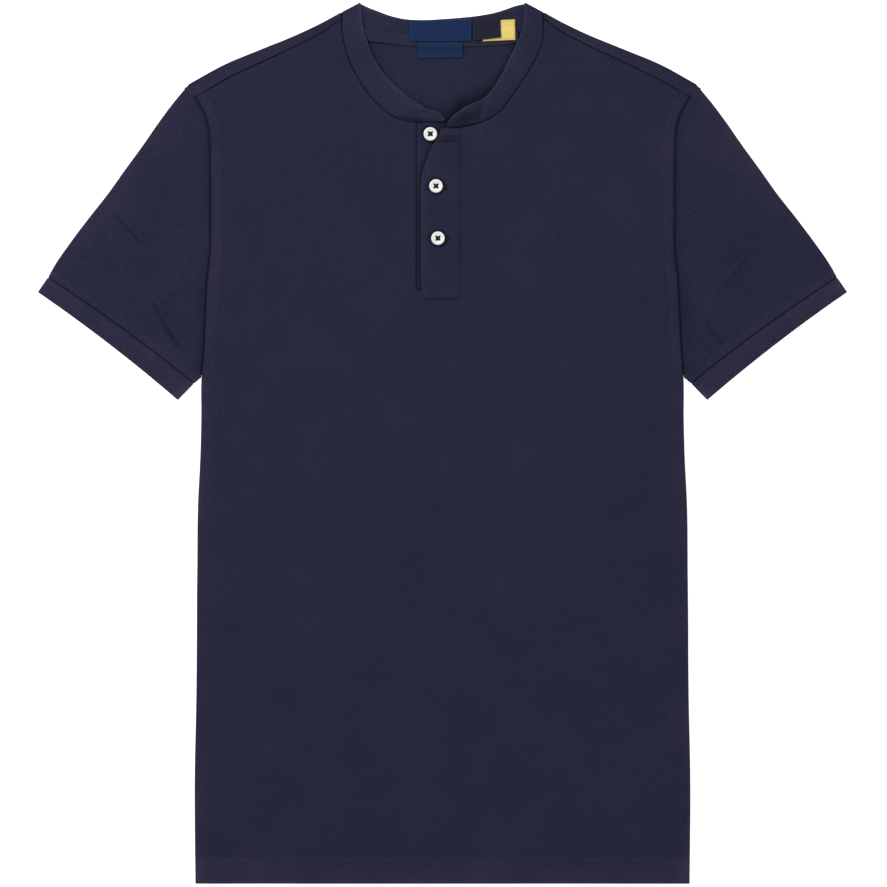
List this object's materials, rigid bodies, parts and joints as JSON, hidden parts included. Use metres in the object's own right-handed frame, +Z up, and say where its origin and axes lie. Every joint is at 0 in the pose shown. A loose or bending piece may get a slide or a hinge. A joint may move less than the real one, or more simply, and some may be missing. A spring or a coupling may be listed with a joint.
{
  "type": "henley shirt",
  "caption": "Short-sleeved knit henley laid flat, with a collarless neckband, an open-topped button placket and banded cuffs.",
  "frame": {"origin": "middle of the laid shirt's outline, on the surface that it rests on", "axes": "+Y from the hem to the neck, +Z up out of the surface through the front of the shirt, +X to the wearer's left"},
  "size_m": [0.6796, 0.74, 0.0091],
  "materials": {
    "knit": "fine open cotton knit, matt navy",
    "band_knit": "the same knit doubled, matt navy",
    "button": "polished off-white resin",
    "tape": "woven navy tape",
    "label_blue": "damask woven blue label, satin sheen",
    "label_dark": "dark satin ribbon label",
    "label_yellow": "yellow woven ribbon label"
  },
  "bodies": {
    "root": {"back": "knit", "front": "knit", "sleeve_left": "knit", "sleeve_right": "knit", "cuff_left": "band_knit", "cuff_right": "band_knit", "neckband": "band_knit", "placket_under": "knit", "placket_top": "knit", "button_1": "button", "button_2": "button", "button_3": "button", "neck_tape": "tape", "label_main": "label_blue", "label_small": "label_blue", "label_care": "label_dark", "label_size": "label_yellow"}
  },
  "joints": []
}
